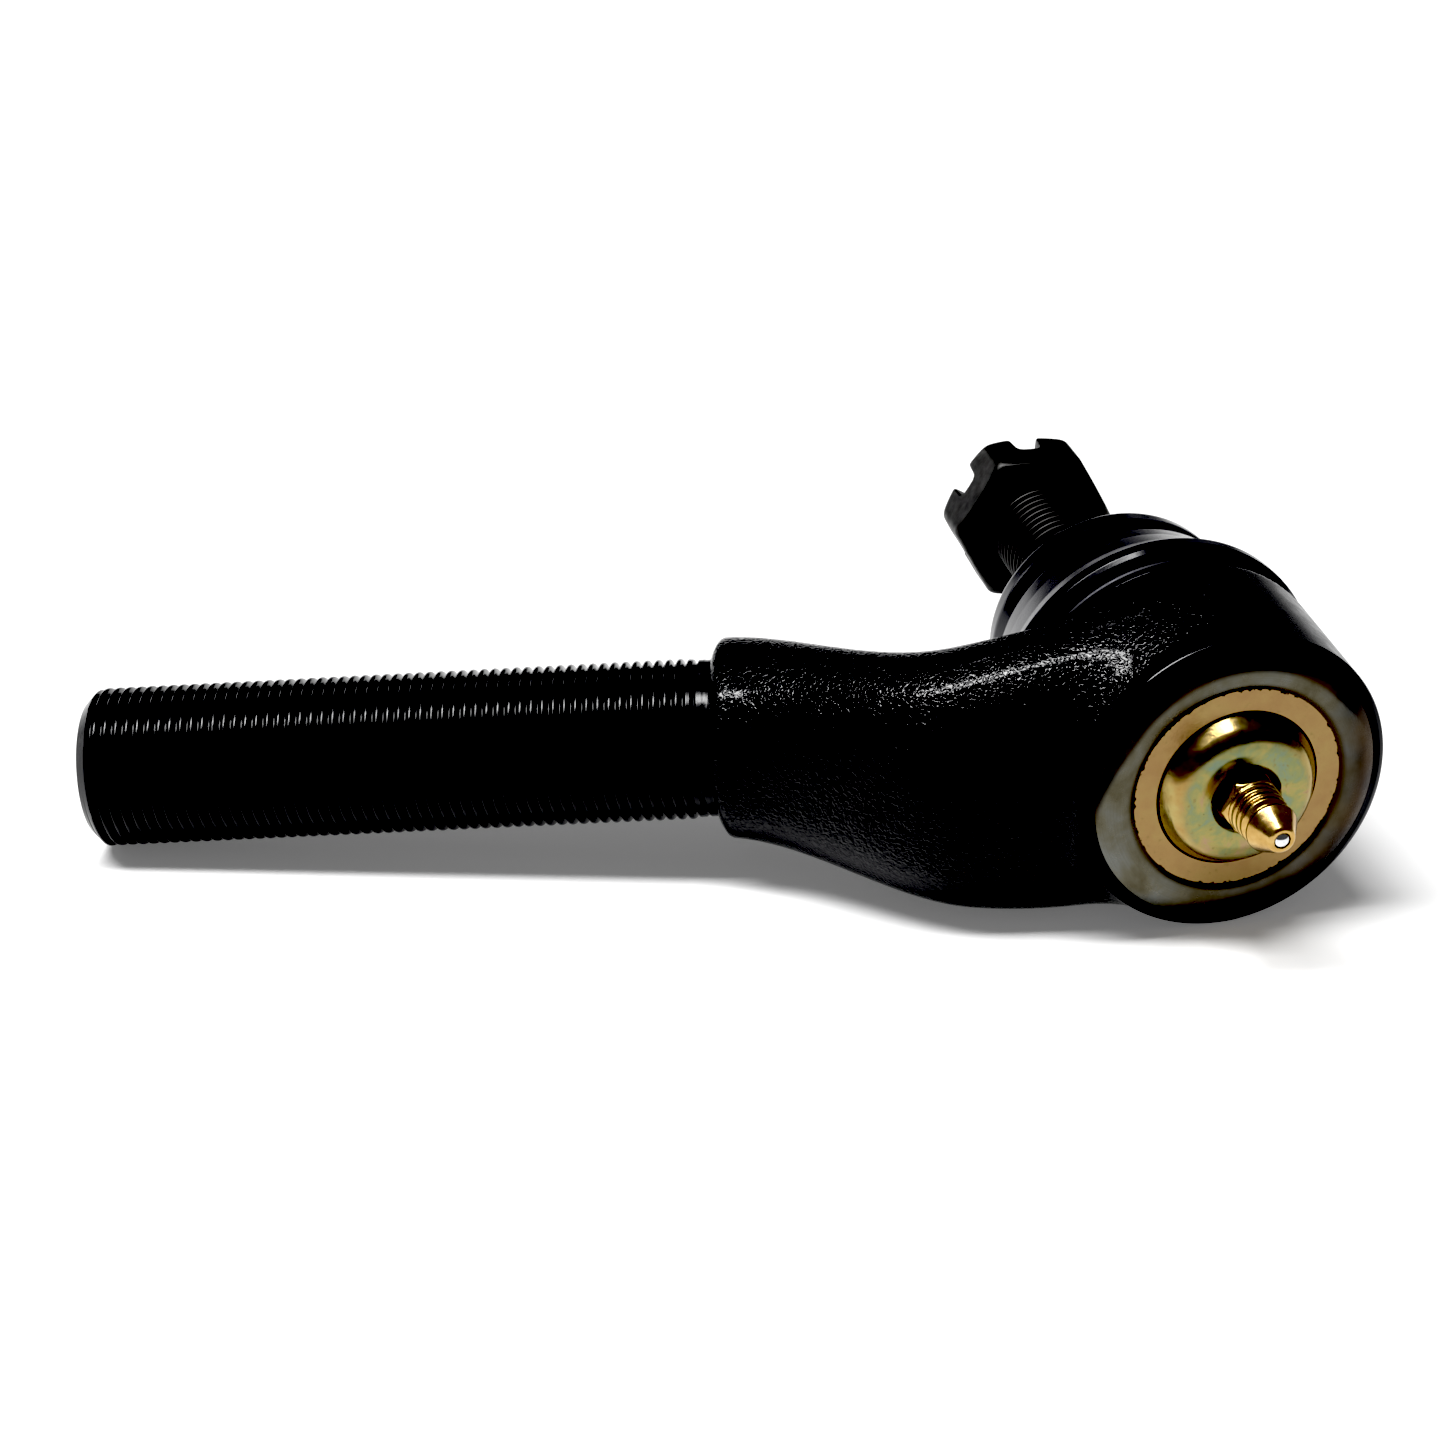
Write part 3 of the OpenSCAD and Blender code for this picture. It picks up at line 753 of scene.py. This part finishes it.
def build_cover(material):
    ring_a = lip_a + 0.5
    outline = corners([
        (14.3, cover_back_a), (PLATE_R, ring_a + 0.02), (PLATE_R, ring_a), (13.6, ring_a),
        (11.05, ring_a, 0.12), (10.9, ring_a + 0.3, 0.05), (10.75, ring_a - 0.2, 0.3),
        (9.2, cover_a + 0.55, 3.0), (6.8, cover_a, 3.0), (4.5, cover_a + 0.1, 1.0),
        (4.1, cover_a + 1.2, 0.3), (3.2, cover_a + 1.2), (3.2, cover_a + 2.8),
        (5.0, cover_a + 2.2, 0.6), (8.2, cover_a + 2.0, 0.9), (9.6, cover_back_a, 0.8),
    ])
    ob = piece("cover", *lathe(outline, HEAD), "housing", material, "yellow_zinc", 35)
    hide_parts("cover_plate")
    reach = np.hypot(*points_of(ob, HEAD)[:, :2].T)
    paint_value(ob, "plateau", 1 - smooth((reach - 7.6) / 2.6))
    paint_value(ob, "wall", smooth((reach - 8.2) / 1.2) * (1 - smooth((reach - 10.8) / 0.1)))
    # Mask of painted shade inside the funnel
    paint_value(ob, "funnel", 1 - smooth((reach - FUNNEL_R) / 0.6))
    # Mask of painted shade in the step's groove
    paint_value(ob, "step", smooth((reach - STEP_R + 0.3) / 0.1) * (1 - smooth((reach - STEP_R) / 0.1)))
    paint_value(ob, "edge", np.clip(1 - (PLATE_R - reach) / 0.6, 0, 1))


# ---- grease fitting ----

# Station of the hexagon's foot, its height and half its width across flats
HEX_A = cover_a + 1.2
HEX_H = 3.2
HEX_HALF = 3.72
# Directions of the flats of a hexagon
FLATS = np.radians([30, 90, 150])
FITTING = [(0, tail_a), (2.7, tail_a), (3.15, tail_a - 0.5), (3.15, HEX_A), (3.6, HEX_A), (3.6, HEX_A - 3.6)]
for groove_r, land_r, down in ((3.25, 3.6, 3.85), (3.3, 3.5, 4.95), (3.25, 3.4, 6.05)):
    FITTING += [(groove_r, HEX_A - down), (land_r, HEX_A - down - 0.25), (land_r, HEX_A - down - 0.85)]
FITTING += [(2.85, tip_a + 4.4), (2.85, tip_a + 4.0), (3.42, tip_a + 3.6), (3.45, tip_a + 3.2)]
FITTING += [(1.8, tip_a + 0.2), (1.48, tip_a), (0, tip_a)]


def fitting_distance(p):
    """Signed distance to the fitting: a grooved body with a hexagon, bored for its ball and its spring."""
    q = p @ HEAD.T
    r, a = np.hypot(q[..., 0], q[..., 1]), q[..., 2]
    flats = np.max([np.abs(q[..., 0] * math.cos(t) + q[..., 1] * math.sin(t)) for t in FLATS], 0) - HEX_HALF
    ends = np.abs(a - HEX_A + HEX_H / 2) - HEX_H / 2
    chamfer = (r - 3.85 - 0.6 * (a - HEX_A + HEX_H)) * 0.85
    nut = smax(smax(flats, ends, 0.15), chamfer, 0.15)
    body = smin(turned(FITTING, p, HEAD), nut, 0.12)
    mouth = np.maximum(r - 1.0, a - tip_a - 2)
    ball_room = np.sqrt(r * r + (a - tip_a - 0.87) ** 2) - 1.37
    spring_room = np.maximum(r - 1.34, np.abs(a - tip_a - 3.62) - 2.75)
    passage = np.maximum(r - 0.9, tip_a + 6 - a)
    inside = np.minimum(np.minimum(mouth, ball_room), np.minimum(spring_room, passage))
    return smax(body, -inside, 0.08)


def build_fitting(material):
    verts, faces = surface_nets(fitting_distance, (3, -34, -4.6), (14.5, -15.5, 4.6), 0.13)
    verts = settle(fitting_distance, verts, 2)
    ob = piece("fitting", verts, faces, "housing", material, "fitting_zinc", 40)
    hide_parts("fitting_body")
    # Mask of painted shade at the fitting's foot
    paint_value(ob, "root", smooth((points_of(ob, HEAD)[:, 2] - HEX_A + HEX_H) / 1.5))


# ---- springs ----


def build_spring(node, name, material, wire_r, radius, turns):
    """A coil of round wire wound between the lowest and highest stations of a CAD node on the head axis."""
    low, high = stations(node, HEAD[2])
    wound = coil(HEAD, wire_r, radius, low + wire_r, high - wire_r, turns)
    ob = piece(name, *wound, "housing", material, "spring_steel", 60)
    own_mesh(ob)
    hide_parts(node)


# ---- boot ----

# Stations on the head axis between which the boot bends over to the stud
BEND_FROM, BEND_TO = 9, 30


def build_boot(material):
    """Turned on the head axis, then bent so that its top follows the stud."""
    outer = [
        (17.7, 0, 0.3), (21.2, 0, 0.3), (21.2, 0.7, 0.2), (19.95, 1.1, 0.2), (19.95, 2.7, 0.2),
        (22.0, 3.2, 0.3), (22.5, 4.0, 0.3), (22.5, 5.6, 0.25), (22.0, 6.1, 0.25), (20.8, 9.0, 3),
        (19.5, 13.5, 3), (18.6, 17.2, 0.6), (17.35, 17.9, 0.5), (17.6, 19.2, 0.7), (18.0, 21.7, 2.5),
        (17.5, 25.3, 3), (13.6, 28.1, 2.5), (10.4, 27.9, 0.4), (10.1, 28.4, 0.2), (10.1, 29.4, 0.3),
        (11.0, 29.7, 0.3), (11.0, 30.5, 0.3),
    ]
    inner = [
        (8.2, 30.5, 0.2), (8.2, 26.9, 0.4), (12.8, 26.1, 2.0), (16.3, 24.3, 2), (16.6, 21.8, 1),
        (15.6, 18.0, 1), (17.0, 13.4, 1), (17.9, 10.6, 1), (17.0, 9, 0.5), (17.7, 8, 0.3),
    ]
    outline = corners([(r, foot_a + rise, fillet) for r, rise, fillet in outer + inner])
    verts, faces = lathe(outline, np.eye(3), 256)
    bend = math.acos(HEAD[2] @ STUD[2]) * smooth((verts[:, 2] - BEND_FROM) / (BEND_TO - BEND_FROM))
    c, s = np.cos(bend), np.sin(bend)
    x, y, z = verts.T
    verts = np.stack([x * c + z * s, y, z * c - x * s], 1) @ HEAD
    ob = piece("rubber_boot", verts, faces, None, material, "boot_rubber", 50)
    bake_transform(ob)
    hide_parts("boot")


# ---- ball stud ----

BALL_R = 12.5
STUD_R = 6.92
# Radius of the plain core inside the thread
STUD_CORE = 6.1


def stud_clip(station):
    """The first turn grows out of the core, and the free end is chamfered."""
    rise = STUD_CORE + (STUD_R - STUD_CORE) * smooth((station - 45.0) / 1.0)
    return np.minimum(rise, STUD_R + (stud_end_a - 0.9) - station - 0.3)


def build_stud(material):
    ball = [(BALL_R * math.cos(t), BALL_R * math.sin(t)) for t in np.linspace(-1.31, 1.02, 48)]
    outline = corners([
        (0.001, -12.1), (3.1, -12.1), *ball, (6.25, 12.5), (6.3, 14, 0.4), (7.65, 22, 0.4), (8.05, 24, 0.4),
        (8.05, 28, 0.4), (7.06, 43.9), (6.8, 44.3), (STUD_CORE, 44.6), (STUD_CORE, 46.5), (0.001, 46.5),
    ])
    piece("stud_body", *lathe(outline, STUD, 192), "stud", material, "black_oxide", 50)
    turned_thread = thread(STUD, 44.6, stud_end_a, STUD_R, stud_clip, turns=112)
    ob = piece("stud_thread", *turned_thread, "stud", material, "black_oxide", 60)
    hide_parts("ball_stud")


# ---- castle nut ----

NUT_HALF = 10.75
NUT_TURN = math.radians(7)
NUT_HOLE_R = 7.0
SLOT_HALF = 1.7
SLOT_DEPTH = 4.0


def nut_distance(p):
    """Signed distance to the nut: a rounded hexagon with chamfered ends and three slots across it."""
    q = p @ STUD.T
    a = q[..., 2]
    r = np.hypot(q[..., 0], q[..., 1])
    x = q[..., 0] * np.cos(NUT_TURN) + q[..., 1] * np.sin(NUT_TURN)
    y = q[..., 1] * np.cos(NUT_TURN) - q[..., 0] * np.sin(NUT_TURN)
    sides = [np.abs(x * math.cos(t) + y * math.sin(t)) for t in FLATS]
    body = smax(smax(sides[0], sides[1], 0.8), sides[2], 0.8) - NUT_HALF
    body = smax(body, np.abs(a - (nut_a + nut_top_a) / 2) - (nut_top_a - nut_a) / 2, 0.5)
    body = smax(body, (r - 11.2 - 1.2 * (a - nut_a)) * 0.64, 0.7)
    body = smax(body, (r - 11.0 - 1.0 * (nut_top_a - a)) * 0.7, 0.9)
    over_floor = a - nut_top_a + SLOT_DEPTH
    for t in FLATS:
        across = np.abs(y * math.cos(t) - x * math.sin(t)) - SLOT_HALF - 0.1 * np.maximum(over_floor, 0)
        body = smax(body, -smax(across, -over_floor, 1.2), 0.4)
    return smax(body, NUT_HOLE_R - r, 0.2)


def build_nut(material):
    middle = STUD[2] * (nut_a + nut_top_a) / 2
    room = np.array([13.2, 8.8, 13.2])
    verts, faces = surface_nets(nut_distance, middle - room, middle + room, 0.26)
    verts = settle(nut_distance, verts, 3)
    ob = piece("nut", verts, faces, "nut", material, "black_oxide", 40)
    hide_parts("castle_nut")


# ---- build ----

PAINT = forging_paint()
THREAD = thread_paint()
RIM = rim_paint()
LIP = bare_lip()
ZINC = yellow_zinc()
FITTING_ZINC = fitting_zinc()
RUBBER = boot_rubber()
OXIDE = black_oxide()
SPRING = steel("spring_steel", (0.32, 0.33, 0.35), low=0.3, high=0.5, grain=0.8)
SOCKET = steel("socket_steel", (0.45, 0.45, 0.46), low=0.2, high=0.35, grain=0.5)
BALL = steel("polished_steel", (0.75, 0.76, 0.78), low=0.05, high=0.15, grain=1.0, relief=0.001)
RING = steel("ring_steel", (0.05, 0.05, 0.055), low=0.35, high=0.55, grain=0.8)
SEAL = seal_rubber()

build_forging(PAINT)
build_shank(THREAD)
build_rim(RIM)
build_lip(LIP)
build_cover(ZINC)
build_fitting(FITTING_ZINC)
build_spring(
    "preload_spring", "preload_coil", SPRING,
    wire_r=0.9, radius=6.4, turns=1.5,
)
build_spring(
    "fitting_spring", "fitting_coil", SPRING,
    wire_r=0.16, radius=0.95, turns=6,
)
build_boot(RUBBER)
build_stud(OXIDE)
build_nut(OXIDE)

# CAD nodes that are shown as they are
CARRIED = {
    "upper_bearing": SOCKET,
    "pressure_cup": SOCKET,
    "spring_seat": SPRING,
    "fitting_ball": BALL,
    "boot_base_ring": RING,
    "boot_top_ring": RING,
    "cover_seal": SEAL,
}
for node, material in CARRIED.items():
    mesh = frame["nodes"][node].data
    mesh.materials.clear()
    mesh.materials.append(material)
    mesh.polygons.foreach_set("use_smooth", np.ones(len(mesh.polygons), bool))
    mesh.set_sharp_from_angle(angle=math.radians(35))


# ---- floor, camera and light ----

scene = bpy.context.scene

# The part rests on the cover rim, the shank's end and the boot's flange
RESTS_ON = np.array([(4.23, -18.04, -20.88), (-146.3, -0.62, -10.88), (-4.85, 4.73, -22.31)])
# Half the floor's side, and its gap below the part, in metres
FLOOR_HALF = 4
FLOOR_GAP = 0.0001


def build_floor(material):
    """A square floor just under the three points that the part rests on."""
    up = np.cross(RESTS_ON[1] - RESTS_ON[0], RESTS_ON[2] - RESTS_ON[0])
    up = up / np.linalg.norm(up) * np.sign(up[2])
    side = np.cross(up, [0, 1, 0])
    side /= np.linalg.norm(side)
    ahead = np.cross(up, side)
    centre = RESTS_ON[0] * MM - up * FLOOR_GAP
    square = [centre + FLOOR_HALF * (i * side + j * ahead) for i, j in ((-1, -1), (1, -1), (1, 1), (-1, 1))]
    mesh = bpy.data.meshes.new("floor")
    mesh.from_pydata([tuple(p) for p in square], [], [(0, 1, 2, 3)])
    ob = bpy.data.objects.new("floor", mesh)
    scene.collection.objects.link(ob)
    mesh.materials.append(material)


def build_camera():
    """The photograph's camera, as solved from it: its axes, and its place from the ball centre."""
    camera = bpy.data.objects.new("camera", bpy.data.cameras.new("camera"))
    scene.collection.objects.link(camera)
    scene.camera = camera
    camera.data.sensor_width = 36
    camera.data.lens = 81.87
    camera.data.clip_start = 0.01
    camera.data.clip_end = 20
    pose = np.eye(4)
    pose[:3, 0] = (0.99255, 0.07201, -0.09828)
    pose[:3, 1] = (0.04861, 0.50565, 0.86137)
    pose[:3, 2] = (0.11172, -0.85973, 0.49838)
    pose[:3, 3] = np.array([-11.05, -381.27, 223.31]) * MM
    camera.matrix_world = Matrix(pose.tolist())


def lamp(name, place, target, size, power):
    """A rectangular lamp at a place in metres that faces a target, with a power in watts."""
    data = bpy.data.lights.new(name, "AREA")
    data.shape = "RECTANGLE"
    data.size, data.size_y = size
    data.energy = power
    ob = bpy.data.objects.new(name, data)
    scene.collection.objects.link(ob)
    ob.location = place
    ob.rotation_euler = (Vector(target) - Vector(place)).to_track_quat("-Z", "Y").to_euler()


build_floor(floor_white())
build_camera()
lamp("strip_left", (-0.5, -0.02, 1.5), (-0.04, 0, 0), (0.35, 0.75), 22)
lamp("strip_right", (0.06, 0.0, 1.6), (-0.02, 0, 0), (0.3, 0.45), 11)
lamp("back_left", (-0.75, 0.8, 0.2), (-0.02, 0, 0), (0.15, 0.3), 0.35)
lamp("back_right", (0.35, 0.95, 0.22), (0, 0, 0), (0.6, 0.35), 0.12)
lamp("back_high", (-0.25, 0.95, 0.85), (-0.06, 0, 0), (0.15, 0.12), 0.1)

world = bpy.data.worlds.new("world")
scene.world = world
world.use_nodes = True
background = world.node_tree.nodes["Background"]
background.inputs["Color"].default_value = (1, 1, 1, 1)
background.inputs["Strength"].default_value = 0.12

# A plain tone curve that takes the darkest tones to black and the floor to white
scene.view_settings.view_transform = "Standard"
scene.view_settings.look = "None"
scene.view_settings.use_curve_mapping = True
scene.view_settings.curve_mapping.black_level = (0.05, 0.05, 0.05)
scene.view_settings.curve_mapping.white_level = (0.9, 0.9, 0.9)
